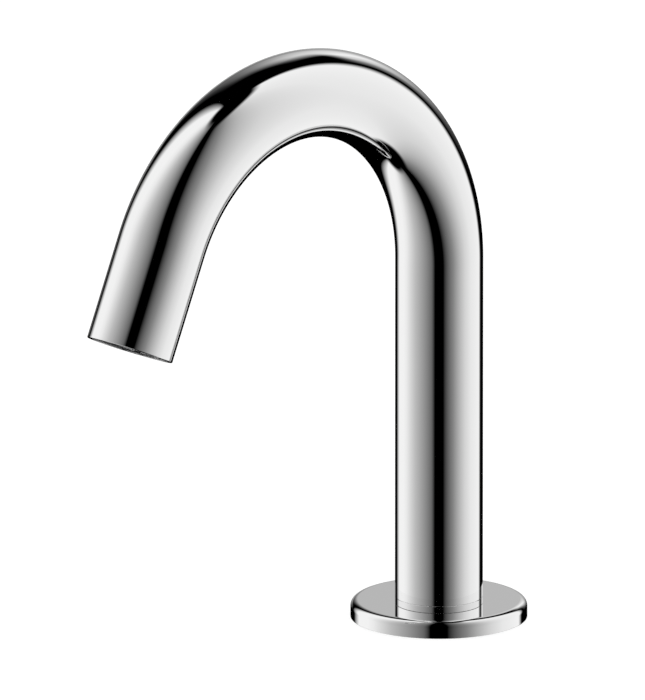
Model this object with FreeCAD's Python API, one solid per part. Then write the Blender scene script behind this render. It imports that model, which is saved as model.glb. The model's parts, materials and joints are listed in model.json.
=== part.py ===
import FreeCAD, Part
import math
import os

# Sensor tap: one bent tube on a thick round flange, with a latching pilot valve in its foot and an
# aerator and a presence sensor in its outlet.
# Millimetres.  +Z is up, z = 0 is the deck, the column stands on the Z axis and the spout reaches
# out along -Y.

# ---------------------------------------------------------------- driving dimensions
# Spout tube
tube_outer_d = 30.0
tube_wall = 1.5
bend_radius = 69.15
bend_angle = 155.8
bend_start_z = 126.45
tip_length = 37.0
tip_edge_r = 0.3
seam_edge_r = 0.1

# Flange, seam and deck gasket
flange_d = 60.4
flange_height = 6.0
flange_edge_r = 2.4
collar_height = 1.2
seam_gap = 0.1
slip_ring_thickness = 0.4
slip_ring_width = 0.95
gasket_height = 1.5
gasket_width = 7.0
flange_rim_width = 3.2
clip_pocket_depth = 2.35
clip_pocket_room = 2.0
clip_width = 3.8
clip_thickness = 1.0
clip_mouth = 7.0
clip_eye_r = 0.8
clip_eye_shift = 0.5

# Foot body
collar_shoulder = 2.0
spigot_height = 20.0
ring_groove_depth = 1.2
boss_groove_depth = 0.85
spout_seal_height = 2.4
spout_seal_rise = 9.0
flange_seal_height = 1.7
flange_seal_z = 3.2
channel_rise = 4.5
channel_d = 4.0
plug_length = 3.0
stud_bore_d = 6.8
stud_depth = 12.0
stud_wall = 1.7
stud_bearing = 30.0
inlet_bore_d = 9.0
inlet_depth = 7.0
inlet_wall = 1.38
inlet_bearing = 150.0
strainer_bore_d = 6.4
strainer_depth = 4.0
strainer_wall = 0.5
strainer_slots = 8
strainer_slot_width = 0.7
feed_d = 3.0
gland_d = 5.8
gland_wall = 1.47
gland_lip_d = 7.2
gland_lip_height = 1.2
grommet_length = 8.0
lead_end_z = 0.2
lead_web = 0.25
leads_bearing = 45.0
lead_hose_gap = 0.45

# Screws
spout_screw_d = 5.0
spout_screw_length = 6.0
spout_screw_rise = 5.0
carrier_screw_d = 3.0
carrier_screw_length = 3.2
screw_recess = 0.5

# Pilot valve
pocket_wall = 0.95
pocket_d = 15.0
pocket_depth = 6.5
ledge_width = 1.0
annulus_depth = 1.7
seat_outer_d = 6.0
seat_bore_d = 4.0
diaphragm_thickness = 1.0
diaphragm_web = 0.5
web_blend = 0.25
plate_d = 8.0
plate_thickness = 1.2
plate_hub_d = 3.2
plate_hub_length = 1.7
pilot_hole_d = 1.0
bleed_hole_d = 0.6
bonnet_wall = 1.1
bonnet_chamber = 2.7
bonnet_roof = 3.3
bonnet_seal_height = 1.4
bonnet_notch_width = 2.0
core_tube_d = 7.0
core_tube_wall = 0.4
core_tube_length = 21.8
core_flange_d = 8.8
core_flange_thickness = 0.8
plunger_length = 13.6
plunger_nose_d = 4.4
plunger_nose_length = 1.2
pad_d = 3.0
pad_length = 1.45
spring_pocket_depth = 8.0
spring_d = 3.6
spring_wire_d = 0.5
plunger_travel = 2.0
stop_gap = 0.4
core_length = 6.0
core_stud_d = 3.0
core_stud_length = 5.6
bobbin_flange_thickness = 1.0
bobbin_wall = 0.5
bobbin_length = 15.8
winding_gap = 0.2
magnet_height = 3.0
can_gap = 0.2
can_wall = 0.6
can_height = 20.6
can_slot_width = 2.8
can_slot_low = 9.0
can_slot_high = 18.5
nut_across_flats = 5.5
nut_height = 2.4

# Hose and leads
hose_outer_d = 6.6
hose_bore_d = 4.6
hose_inset = 3.9
hose_crown_offset = -4.8
tail_plug_d = 6.0
tail_plug_length = 5.0
tail_flange_thickness = 1.0
tail_barb_length = 10.0
tail_bore_d = 3.0
tail_barbs = 3
barb_height = 0.2
ferrule_wall = 0.45
ferrule_length = 5.0
ferrule_offset = 1.5
sensor_cable_d = 2.8
sensor_cable_inset = 5.65
sensor_cable_crown_offset = 3.0
valve_lead_d = 2.0
valve_lead_drop = 12.5

# Outlet, measured in its own frame: tip face at zero, up into the tube
face_recess = 0.5
carrier_screw_rise = 3.1
carrier_seal_rise = 2.8
carrier_seal_height = 2.2
carrier_height = 24.0
aerator_wall = 0.95
aerator_height = 9.0
aerator_ring_wall = 1.35
aerator_lip = 0.6
aerator_notch_width = 2.2
aerator_notch_depth = 1.0
aerator_notches = 4
washer_thickness = 1.5
washer_width = 2.25
chamber_ledge = 1.75
chamber_height = 3.4
honeycomb_height = 4.3
honeycomb_pitch = 1.9
honeycomb_web = 0.35
jet_plate_thickness = 1.2
jet_hole_d = 0.9
jet_holes = 14
jet_circle_inset = 1.7
jet_ring_wall = 0.8
regulator_height = 2.4
regulator_ring_d = 8.6
regulator_ring_section = 1.4
regulator_slots = 12
regulator_slot_width = 0.7
regulator_slot_reach = 0.9
window_rim = 1.1
window_bridge = 1.25
window_width = 6.7
cable_side_gap = 0.2
window_back = 1.5
window_thickness = 1.9
window_recess = 0.1
window_gasket_thickness = 0.6
window_gasket_width = 0.8
housing_height = 10.9
housing_wall = 0.9
board_ledge = 0.7
board_thickness = 1.0
board_height = 9.0
optic_d = 3.0
optic_height = 4.2
optic_spread = 3.8
optic_inset = 4.25
led_d = 2.0
led_height = 3.0
led_inset = 3.25
baffle_offset = 1.55
baffle_thickness = 0.5
boot_length = 5.0
boot_wall = 0.6

# Clearances
fit = 0.05
loose_fit = 0.1
running_gap = 0.1
tube_fit = 0.15

# Proportions
seal_ease_share = 0.3
screw_bevel_share = 0.12
bend_run_share = 0.45
hose_wall_share = 0.8
same_place = 1e-6

# ---------------------------------------------------------------- worked out from them
tube_r = tube_outer_d / 2
bore_r = tube_r - tube_wall
tip_tilt = 180.0 - bend_angle

# Levels in the foot
collar_top = flange_height + collar_height
tube_low = collar_top + seam_gap
slip_ring_low = tube_low - slip_ring_thickness
foot_top = collar_top + spigot_height
channel_z = collar_top + channel_rise
spout_screw_z = collar_top + spout_screw_rise
ledge_z = foot_top - pocket_depth
annulus_z = ledge_z - annulus_depth

# Radii and places in the foot
boss_r = tube_r - collar_shoulder
spigot_r = bore_r - tube_fit
hose_r = hose_outer_d / 2
pocket_r = pocket_d / 2
valve_y = spigot_r - pocket_wall - pocket_r
annulus_r = pocket_r - ledge_width
slip_ring_outer = spigot_r + fit + slip_ring_width
# The hose stands between the valve's pocket and the tube's wall, and keeps more to the wall
hose_column_offset = hose_inset + (valve_y - pocket_r) / 2 - hose_wall_share * bore_r


def polar(radius, bearing):
    return (radius * math.cos(math.radians(bearing)), radius * math.sin(math.radians(bearing)))


stud_x, stud_y = polar(boss_r - stud_wall - stud_bore_d / 2, stud_bearing)
inlet_x, inlet_y = polar(boss_r - inlet_wall - inlet_bore_d / 2, inlet_bearing)
feed_bearing = math.degrees(math.atan2(inlet_y - valve_y, inlet_x))
feed_dx, feed_dy = polar((seat_outer_d / 2 + annulus_r) / 2, feed_bearing)

# The gland lies near the rim of the boss, where its two leads, side by side, just clear the hose
leads_width = sensor_cable_d + lead_web + valve_lead_d
across_x, across_y = polar(1.0, leads_bearing)
sensor_lead_shift = (leads_width - sensor_cable_d) / 2
valve_lead_shift = (leads_width - valve_lead_d) / 2
valve_lead_x = hose_r + fit + ferrule_wall + lead_hose_gap + valve_lead_d / 2
gland_x = valve_lead_x + valve_lead_shift * across_x
gland_y = -math.sqrt((boss_r - gland_wall - gland_d / 2) ** 2 - gland_x ** 2)
sensor_cable_x = gland_x + sensor_lead_shift * across_x
sensor_cable_y = gland_y + sensor_lead_shift * across_y
valve_lead_y = gland_y - valve_lead_shift * across_y

# Levels in the valve
diaphragm_top = ledge_z + diaphragm_thickness
plate_top = diaphragm_top + plate_thickness
chamber_roof = diaphragm_top + bonnet_chamber
bonnet_top = chamber_roof + bonnet_roof
bobbin_low = bonnet_top + loose_fit
plunger_low = chamber_roof + fit
plunger_top = plunger_low + plunger_length
core_low = plunger_top + plunger_travel + stop_gap
core_tube_top = chamber_roof + core_tube_length
bobbin_top = bobbin_low + bobbin_length
can_top = bonnet_top + can_height
can_r = pocket_r - can_gap
core_tube_r = core_tube_d / 2
plunger_r = core_tube_r - core_tube_wall - running_gap

# Outlet
carrier_r = bore_r - tube_fit
aerator_r = carrier_r - loose_fit - (aerator_wall + window_bridge + window_width + window_rim) / 2
aerator_y = carrier_r - aerator_wall - aerator_r - loose_fit
aerator_low = face_recess + loose_fit
aerator_top = aerator_low + aerator_height
washer_top = aerator_top + washer_thickness
chamber_top = washer_top + chamber_height
window_r = carrier_r - window_rim
window_half_width = sensor_cable_x + sensor_cable_d / 2 + housing_wall + cable_side_gap
bridge_r = aerator_r + loose_fit + window_bridge
sensor_cable_forward = window_r - sensor_cable_inset
carrier_screw_height = washer_top + carrier_screw_rise
carrier_seal_low = carrier_screw_height + carrier_seal_rise
carrier_seal_top = carrier_seal_low + carrier_seal_height
window_low = face_recess + window_recess
window_top = window_low + window_thickness
housing_low = window_top + window_gasket_thickness
housing_top = housing_low + housing_height


# ---------------------------------------------------------------- shapes
def vec(x=0.0, y=0.0, z=0.0):
    return FreeCAD.Vector(x, y, z)


UP = vec(0, 0, 1)
SIDE = vec(1, 0, 0)
BACK = vec(0, 1, 0)


def cylinder(radius, low, high, x=0.0, y=0.0):
    return Part.makeCylinder(radius, high - low, vec(x, y, low))


def sleeve(inner, outer, low, high, x=0.0, y=0.0):
    return cylinder(outer, low, high, x, y).cut(cylinder(inner, low, high, x, y))


def block(x_low, x_high, y_low, y_high, z_low, z_high):
    return Part.makeBox(x_high - x_low, y_high - y_low, z_high - z_low, vec(x_low, y_low, z_low))


def turned(profile, x=0.0, y=0.0):
    """Solid turned about the vertical through (x, y) from its (radius, height) corners."""
    corners = [vec(r, 0, z) for r, z in profile]
    solid = Part.Face(Part.makePolygon(corners + corners[:1])).revolve(vec(), UP, 360)
    solid.translate(vec(x, y))
    return solid


def seal_ring(inner, outer, low, high, x=0.0, y=0.0):
    """Rubber ring as it lies squeezed in its groove: an oblong section with eased corners."""
    ease = seal_ease_share * min(outer - inner, high - low)
    profile = [
        (inner + ease, low),
        (outer - ease, low),
        (outer, low + ease),
        (outer, high - ease),
        (outer - ease, high),
        (inner + ease, high),
        (inner, high - ease),
        (inner, low + ease),
    ]
    return turned(profile, x, y)


def hexagon(across_flats, low, high, x=0.0, y=0.0):
    radius = across_flats / math.sqrt(3)
    corners = [vec(x + polar(radius, 60 * i)[0], y + polar(radius, 60 * i)[1], low) for i in range(7)]
    return Part.Face(Part.makePolygon(corners)).extrude(vec(0, 0, high - low))


def around(shape, count, x=0.0, y=0.0):
    """Copies of a shape, evenly spaced round the vertical through (x, y)."""
    copies = []
    for i in range(count):
        copy = shape.copy()
        copy.rotate(vec(x, y), UP, 360.0 * i / count)
        copies.append(copy)
    return copies


def grub_screw(diameter, length):
    """Screw along Z with its cup point at zero and its hexagon socket at the top."""
    radius = diameter / 2 - fit
    bevel = screw_bevel_share * diameter
    profile = [(0, 0), (radius - bevel, 0), (radius, bevel), (radius, length - bevel),
               (radius - bevel, length), (0, length)]
    socket = hexagon(diameter / 2, length - diameter / 2, length)
    return turned(profile).cut(socket)


def laid_back(shape, start_y, height):
    """Turns a shape that stands on the origin so that it points along +Y from (0, start_y, height)."""
    shape.rotate(vec(), SIDE, -90)
    shape.translate(vec(0, start_y, height))
    return shape


def at_tip(shape):
    """Moves a shape from the outlet's own frame to its place at the end of the spout."""
    placed = shape.copy()
    placed.Placement = tip_placement.multiply(placed.Placement)
    return placed


def spout_point(bearing, offset):
    """Point of the arc at an angle from its start, offset outwards from the tube's axis."""
    reach = bend_radius + offset
    angle = math.radians(bearing)
    return vec(0, reach * math.cos(angle) - bend_radius, bend_start_z + reach * math.sin(angle))


tip_direction = vec(0, -math.sin(math.radians(bend_angle)), math.cos(math.radians(bend_angle)))
tip_centre = spout_point(bend_angle, 0) + tip_direction * tip_length
tip_placement = FreeCAD.Placement(tip_centre, FreeCAD.Rotation(SIDE, -tip_tilt))


def spout_rod(radius, low, tip_height=0.0, x=0.0, column_offset=0.0, crown_offset=0.0, tip_offset=0.0):
    """Round rod up the column, over one arc and down to the tip.

    The offsets are measured outwards from the tube's axis: in the column, half-way round the arc and at
    the tip.  They set how much tighter than the tube's the rod's own arc is, and where its centre lies.
    """
    angle = math.radians(bend_angle)
    half_cos = math.cos(angle / 2)
    inset = (crown_offset * half_cos - (column_offset + tip_offset) / 2) / (1 - half_cos)
    arc_r = bend_radius - inset
    shift_y = column_offset + inset
    shift_z = (tip_offset + inset - math.cos(angle) * shift_y) / math.sin(angle)
    centre = vec(x, shift_y - bend_radius, bend_start_z + shift_z)
    arc_start = centre + vec(0, arc_r, 0)
    arc_end = centre + vec(0, arc_r * math.cos(angle), arc_r * math.sin(angle))
    rod_end = tip_placement.multVec(vec(x, -tip_offset, tip_height))
    column = Part.makeCylinder(radius, arc_start.z - low, vec(x, column_offset, low))
    disc = Part.Face(Part.Wire(Part.makeCircle(radius, arc_start, UP)))
    arc = disc.revolve(centre, SIDE, bend_angle)
    tip = Part.makeCylinder(radius, (rod_end - arc_end).Length, arc_end, tip_direction)
    return column.fuse([arc, tip]).removeSplitter()


def circle_edges(shape, radius, centre):
    """The shape's round edges of one radius about one centre."""
    found = []
    for edge in shape.Edges:
        curve = edge.Curve
        if isinstance(curve, Part.Circle) and abs(curve.Radius - radius) < same_place:
            if (curve.Center - centre).Length < same_place:
                found.append(edge)
    return found


# ---------------------------------------------------------------- shell and foot
def make_spout_tube():
    outer = spout_rod(tube_r, tube_low)
    outer = outer.makeFillet(seam_edge_r, circle_edges(outer, tube_r, vec(0, 0, tube_low)))
    outer = outer.makeFillet(tip_edge_r, circle_edges(outer, tube_r, tip_centre))
    tube = outer.cut(spout_rod(bore_r, tube_low))
    foot_hole = Part.makeCylinder(spout_screw_d / 2 + loose_fit, 2 * tube_r, vec(0, 0, spout_screw_z), BACK)
    tip_hole = Part.makeCylinder(
        carrier_screw_d / 2 + loose_fit, 2 * tube_r, vec(0, 0, carrier_screw_height), BACK)
    return tube.cut([foot_hole, at_tip(tip_hole)])


def make_flange():
    flange_r = flange_d / 2
    body = cylinder(flange_r, 0, flange_height)
    body = body.makeFillet(flange_edge_r, circle_edges(body, flange_r, vec(0, 0, flange_height)))
    gasket_outer = flange_r - flange_rim_width
    gasket_inner = gasket_outer - gasket_width
    clip_outer = boss_r - boss_groove_depth + clip_width
    cuts = [
        cylinder(boss_r + loose_fit, 0, flange_height),
        cylinder(clip_outer + clip_pocket_room, 0, clip_pocket_depth),
        sleeve(gasket_inner, gasket_outer, 0, gasket_height),
    ]
    gasket = sleeve(gasket_inner + fit, gasket_outer - fit, 0, gasket_height)
    return {"base_flange": body.cut(cuts), "deck_gasket": gasket}


def make_flange_clip():
    inner = boss_r - boss_groove_depth + fit
    outer = inner + clip_width
    high = clip_pocket_depth - fit
    low = high - clip_thickness
    ring = sleeve(inner, outer, low, high)
    mouth = block(-clip_mouth / 2, clip_mouth / 2, -2 * outer, 0, low, high)
    eye_y = -(inner + outer) / 2
    eye_x = clip_mouth / 2 + 2 * clip_eye_r
    eyes = [cylinder(clip_eye_r, low, high, x, eye_y + clip_eye_shift) for x in (-eye_x, eye_x)]
    return ring.cut([mouth] + eyes)


def make_foot_body():
    groove_r = spigot_r - ring_groove_depth
    rebate_r = slip_ring_outer + fit
    boss_groove_r = boss_r - boss_groove_depth
    clip_high = clip_pocket_depth
    clip_low = clip_high - clip_thickness - 2 * fit
    flange_seal_top = flange_seal_z + flange_seal_height
    seal_low = collar_top + spout_seal_rise
    seal_high = seal_low + spout_seal_height
    body = turned([
        (0, 0), (boss_r, 0), (boss_r, clip_low), (boss_groove_r, clip_low), (boss_groove_r, clip_high),
        (boss_r, clip_high), (boss_r, flange_seal_z), (boss_groove_r, flange_seal_z),
        (boss_groove_r, flange_seal_top), (boss_r, flange_seal_top), (boss_r, flange_height),
        (tube_r, flange_height), (tube_r, collar_top - seam_edge_r), (tube_r - seam_edge_r, collar_top),
        (rebate_r, collar_top), (rebate_r, slip_ring_low), (spigot_r, slip_ring_low), (spigot_r, seal_low),
        (groove_r, seal_low), (groove_r, seal_high), (spigot_r, seal_high), (spigot_r, foot_top),
        (0, foot_top),
    ])
    seat_z = ledge_z - fit
    valve_cuts = [
        cylinder(pocket_r, ledge_z, foot_top, 0, valve_y),
        sleeve(seat_outer_d / 2, annulus_r, annulus_z, ledge_z, 0, valve_y),
        cylinder(seat_outer_d / 2, seat_z, ledge_z, 0, valve_y),
        cylinder(seat_bore_d / 2, channel_z, ledge_z, 0, valve_y),
    ]
    channel = Part.makeCylinder(channel_d / 2, valve_y + spigot_r, vec(0, -spigot_r, channel_z), BACK)
    water_cuts = [
        channel,
        cylinder(channel_d / 2, channel_z, foot_top, 0, hose_column_offset),
        cylinder(tail_plug_d / 2 + fit, foot_top - tail_plug_length, foot_top, 0, hose_column_offset),
        cylinder(inlet_bore_d / 2, 0, inlet_depth, inlet_x, inlet_y),
        cylinder(strainer_bore_d / 2, inlet_depth, inlet_depth + strainer_depth, inlet_x, inlet_y),
        cylinder(feed_d / 2, inlet_depth, annulus_z, feed_dx, valve_y + feed_dy),
    ]
    screw_seat = Part.makeCylinder(
        spout_screw_d / 2, tube_r, vec(0, tube_r - screw_recess - spout_screw_length, spout_screw_z), BACK)
    other_cuts = [
        cylinder(stud_bore_d / 2, 0, stud_depth, stud_x, stud_y),
        cylinder(gland_d / 2, 0, foot_top, gland_x, gland_y),
        cylinder(gland_lip_d / 2, 0, gland_lip_height, gland_x, gland_y),
        screw_seat,
    ]
    return body.cut(valve_cuts + water_cuts + other_cuts)


def make_foot_trim():
    """The ring in the seam, the seals, the plug, the strainer, the grommet and the locking screw."""
    groove_r = spigot_r - ring_groove_depth
    boss_groove_r = boss_r - boss_groove_depth
    seal_low = collar_top + spout_seal_rise + fit
    seal_high = seal_low + spout_seal_height - 2 * fit
    plug_start = -spigot_r + loose_fit
    parts = {
        "slip_ring": sleeve(spigot_r + fit, slip_ring_outer, slip_ring_low, tube_low),
        "spout_seal": seal_ring(groove_r + fit, bore_r - fit, seal_low, seal_high),
        "flange_seal": seal_ring(
            boss_groove_r + fit, boss_r + fit, flange_seal_z + fit, flange_seal_z + flange_seal_height - fit),
        "channel_plug": Part.makeCylinder(
            channel_d / 2 - fit, plug_length, vec(0, plug_start, channel_z), BACK),
    }
    screw = grub_screw(spout_screw_d, spout_screw_length)
    parts["spout_screw"] = laid_back(screw, tube_r - screw_recess - spout_screw_length, spout_screw_z)

    cup_outer = strainer_bore_d / 2 - 2 * strainer_wall
    cup_low = inlet_depth + strainer_wall
    cup_top = inlet_depth + strainer_depth - 2 * strainer_wall
    cup = turned([
        (strainer_bore_d / 2 - fit, inlet_depth), (strainer_bore_d / 2 - fit, cup_low), (cup_outer, cup_low),
        (cup_outer, cup_top), (0, cup_top), (0, cup_top - strainer_wall),
        (cup_outer - strainer_wall, cup_top - strainer_wall), (cup_outer - strainer_wall, inlet_depth),
    ], inlet_x, inlet_y)
    slot = block(
        inlet_x, inlet_x + strainer_bore_d, inlet_y - strainer_slot_width / 2,
        inlet_y + strainer_slot_width / 2, cup_low + strainer_wall, cup_top - 2 * strainer_wall)
    parts["inlet_strainer"] = cup.cut(around(slot, strainer_slots, inlet_x, inlet_y))

    grommet = cylinder(gland_d / 2 - fit, gland_lip_height, grommet_length, gland_x, gland_y)
    lip = cylinder(gland_lip_d / 2 - fit, lead_end_z, gland_lip_height, gland_x, gland_y)
    bores = [
        cylinder(sensor_cable_d / 2 + fit, 0, grommet_length, sensor_cable_x, sensor_cable_y),
        cylinder(valve_lead_d / 2 + fit, 0, grommet_length, valve_lead_x, valve_lead_y),
    ]
    parts["cable_grommet"] = grommet.fuse(lip).cut(bores)
    return parts


# ---------------------------------------------------------------- pilot valve
def make_diaphragm():
    rim_r = pocket_r - loose_fit - fit
    web_outer = annulus_r - web_blend
    web_inner = plate_d / 2 + web_blend
    web_top = ledge_z + diaphragm_web
    hub_r = plate_hub_d / 2
    diaphragm = turned([
        (hub_r + fit, ledge_z), (rim_r, ledge_z), (rim_r, diaphragm_top), (web_outer, diaphragm_top),
        (web_outer, web_top), (web_inner, web_top), (web_inner, diaphragm_top),
        (hub_r + fit, diaphragm_top),
    ], 0, valve_y)
    hub_low = diaphragm_top - plate_hub_length
    plate = turned([
        (pilot_hole_d / 2, hub_low), (hub_r, hub_low), (hub_r, diaphragm_top),
        (plate_d / 2, diaphragm_top), (plate_d / 2, plate_top), (pilot_hole_d / 2, plate_top),
    ], 0, valve_y)
    bleed = cylinder(bleed_hole_d / 2, ledge_z, plate_top, 0, valve_y - plate_d / 2 + 2 * bleed_hole_d)
    return {"valve_diaphragm": diaphragm.cut(bleed), "diaphragm_plate": plate.cut(bleed)}


def make_bonnet():
    outer = pocket_r - loose_fit
    chamber_r = outer - bonnet_wall
    seal_low = chamber_roof + (foot_top - chamber_roof - bonnet_seal_height) / 2
    seal_high = seal_low + bonnet_seal_height
    groove_r = outer - bonnet_wall
    core_hole = core_tube_r + fit
    flange_hole = core_flange_d / 2 + fit
    flange_top = chamber_roof + core_flange_thickness
    bonnet = turned([
        (chamber_r, diaphragm_top), (outer, diaphragm_top), (outer, seal_low), (groove_r, seal_low),
        (groove_r, seal_high), (outer, seal_high), (outer, bonnet_top), (core_hole, bonnet_top),
        (core_hole, flange_top), (flange_hole, flange_top), (flange_hole, chamber_roof),
        (chamber_r, chamber_roof),
    ], 0, valve_y)
    notch = block(outer - bonnet_wall, 2 * outer, valve_y - bonnet_notch_width / 2,
                  valve_y + bonnet_notch_width / 2, foot_top, bonnet_top)
    seal = seal_ring(groove_r + fit, pocket_r - fit, seal_low + fit, seal_high - fit, 0, valve_y)
    return {"valve_bonnet": bonnet.cut(around(notch, 2, 0, valve_y)), "bonnet_seal": seal}


def make_core():
    bore = core_tube_r - core_tube_wall
    flange_top = chamber_roof + core_flange_thickness
    tube = turned([
        (bore, chamber_roof), (core_flange_d / 2, chamber_roof), (core_flange_d / 2, flange_top),
        (core_tube_r, flange_top), (core_tube_r, core_tube_top), (bore, core_tube_top),
    ], 0, valve_y)
    core_r = bore - fit
    core_top = core_low + core_length
    stud_r = core_stud_d / 2
    core = turned([
        (0, core_low), (core_r, core_low), (core_r, core_top), (stud_r, core_top),
        (stud_r, core_top + core_stud_length), (0, core_top + core_stud_length),
    ], 0, valve_y)
    nut = hexagon(nut_across_flats, can_top, can_top + nut_height, 0, valve_y)
    nut = nut.cut(cylinder(stud_r + fit, can_top, can_top + nut_height, 0, valve_y))
    return {"core_tube": tube, "fixed_core": core, "coil_nut": nut}


def make_plunger():
    nose_low = plunger_low - plunger_nose_length
    nose_r = plunger_nose_d / 2
    pad_r = pad_d / 2
    pad_low = plate_top + fit
    pad_top = pad_low + pad_length
    pocket_low = plunger_top - spring_pocket_depth
    pocket = spring_d / 2 + loose_fit
    plunger = turned([
        (pad_r + fit, nose_low), (nose_r, nose_low), (nose_r, plunger_low), (plunger_r, plunger_low),
        (plunger_r, plunger_top), (pocket, plunger_top), (pocket, pocket_low), (0, pocket_low),
        (0, pad_top), (pad_r + fit, pad_top),
    ], 0, valve_y)
    pad = cylinder(pad_r, pad_low, pad_top, 0, valve_y)
    spring = sleeve(spring_d / 2 - spring_wire_d, spring_d / 2, pocket_low, core_low, 0, valve_y)
    return {"pilot_plunger": plunger, "plunger_pad": pad, "plunger_spring": spring}


def make_coil():
    bobbin_bore = core_tube_r + loose_fit
    barrel_r = bobbin_bore + bobbin_wall
    flange_r = can_r - can_wall - loose_fit
    low_flange = bobbin_low + bobbin_flange_thickness
    high_flange = bobbin_top - bobbin_flange_thickness
    bobbin = turned([
        (bobbin_bore, bobbin_low), (flange_r, bobbin_low), (flange_r, low_flange), (barrel_r, low_flange),
        (barrel_r, high_flange), (flange_r, high_flange), (flange_r, bobbin_top), (bobbin_bore, bobbin_top),
    ], 0, valve_y)
    winding = sleeve(barrel_r + fit, flange_r - winding_gap, low_flange + fit, high_flange - fit, 0, valve_y)
    magnet = sleeve(bobbin_bore, flange_r - winding_gap, bobbin_top + fit,
                    bobbin_top + fit + magnet_height, 0, valve_y)
    hole = core_stud_d / 2 + fit
    inner = can_r - can_wall
    can = turned([
        (inner, bonnet_top), (can_r, bonnet_top), (can_r, can_top), (hole, can_top),
        (hole, can_top - can_wall), (inner, can_top - can_wall),
    ], 0, valve_y)
    slot = block(can_r / 2, 2 * can_r, -can_slot_width / 2, can_slot_width / 2,
                 bonnet_top + can_slot_low, bonnet_top + can_slot_high)
    slot.rotate(vec(), UP, valve_lead_bearing())
    slot.translate(vec(0, valve_y, 0))
    return {"coil_bobbin": bobbin, "coil_winding": winding, "latch_magnet": magnet,
            "solenoid_can": can.cut(slot)}


def valve_lead_bearing():
    """Bearing of the valve lead's bore as seen from the valve's axis."""
    return math.degrees(math.atan2(valve_lead_y - valve_y, valve_lead_x))


def rounded_rod(points, radius):
    """Round rod along straight runs joined by tangent arcs, each as large as its runs allow."""
    edges = []
    last = points[0]
    for before, corner, after in zip(points, points[1:], points[2:]):
        back = (before - corner).normalize()
        ahead = (after - corner).normalize()
        half_turn = (math.pi - back.getAngle(ahead)) / 2
        run = min((before - corner).Length, (after - corner).Length)
        arc_r = bend_run_share * run / math.tan(half_turn)
        print("lead bend radius %.1f" % arc_r)
        start = corner + back * (bend_run_share * run)
        end = corner + ahead * (bend_run_share * run)
        to_centre = (back + ahead).normalize()
        middle = corner + to_centre * (arc_r / math.cos(half_turn) - arc_r)
        edges.append(Part.LineSegment(last, start).toShape())
        edges.append(Part.Arc(start, middle, end).toShape())
        last = end
    edges.append(Part.LineSegment(last, points[-1]).toShape())
    path = Part.Wire(edges)
    section = Part.Wire(Part.makeCircle(radius, points[0], points[1] - points[0]))
    rod = path.makePipeShell([section], True, False)
    expected = math.pi * radius ** 2 * path.Length
    print("lead volume over section times length %.5f" % (rod.Volume / expected))
    return rod


def make_solenoid_lead():
    bearing = valve_lead_bearing()
    start_dx, start_dy = polar(can_r - can_wall + valve_lead_d / 2, bearing)
    start = vec(start_dx, valve_y + start_dy, bobbin_top - bobbin_flange_thickness / 2)
    turn = vec(valve_lead_x, valve_lead_y, start.z - valve_lead_drop)
    return rounded_rod([start, turn, vec(valve_lead_x, valve_lead_y, lead_end_z)], valve_lead_d / 2)


# ---------------------------------------------------------------- hose and sensor cable
def hose_tail(base, x=0.0, y=0.0):
    """Barbed tail whose plug sits below the base level and whose barbs stand above it."""
    shank = hose_bore_d / 2 - fit - barb_height
    barb_low = base + tail_flange_thickness
    barb_step = tail_barb_length / (tail_barbs + 1)
    profile = [
        (tail_bore_d / 2, base - tail_plug_length), (tail_plug_d / 2, base - tail_plug_length),
        (tail_plug_d / 2, base), (hose_r, base), (hose_r, barb_low), (shank, barb_low),
    ]
    for i in range(tail_barbs):
        edge = barb_low + (i + 1) * barb_step
        profile += [(shank, edge), (shank + barb_height, edge), (shank, edge + barb_step / 2)]
    top = barb_low + tail_barb_length
    profile += [(shank, top), (tail_bore_d / 2, top)]
    return turned(profile, x, y)


def make_hose():
    offsets = {"column_offset": hose_column_offset, "crown_offset": hose_crown_offset,
               "tip_offset": -aerator_y}
    low = foot_top + tail_flange_thickness
    tip_height = carrier_height + tail_flange_thickness
    outer = spout_rod(hose_r, low, tip_height, **offsets)
    hose = outer.cut(spout_rod(hose_bore_d / 2, low, tip_height, **offsets))
    tails = [
        hose_tail(foot_top, 0, hose_column_offset),
        at_tip(hose_tail(carrier_height, 0, aerator_y)),
    ]
    inner = hose_r + fit
    outer_r = inner + ferrule_wall
    foot_low = low + ferrule_offset
    tip_low = tip_height + ferrule_offset
    ferrules = [
        sleeve(inner, outer_r, foot_low, foot_low + ferrule_length, 0, hose_column_offset),
        at_tip(sleeve(inner, outer_r, tip_low, tip_low + ferrule_length, 0, aerator_y)),
    ]
    return {"water_hose": hose, "hose_tails": Part.makeCompound(tails),
            "hose_ferrules": Part.makeCompound(ferrules)}


def make_sensor_cable():
    return spout_rod(
        sensor_cable_d / 2, lead_end_z, board_height + board_thickness + fit, x=sensor_cable_x,
        column_offset=sensor_cable_y, crown_offset=sensor_cable_crown_offset,
        tip_offset=sensor_cable_forward)


# ---------------------------------------------------------------- outlet
def crescent(low, high, inset=0.0):
    """Moon-shaped block in front of the aerator, drawn in by an inset on every side."""
    outer = cylinder(window_r - inset, low, high)
    bite = cylinder(bridge_r + inset, low, high, 0, aerator_y)
    half = window_half_width - inset
    span = block(-half, half, -2 * tube_r, -window_back - inset, low, high)
    return outer.cut(bite).common(span)


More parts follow.
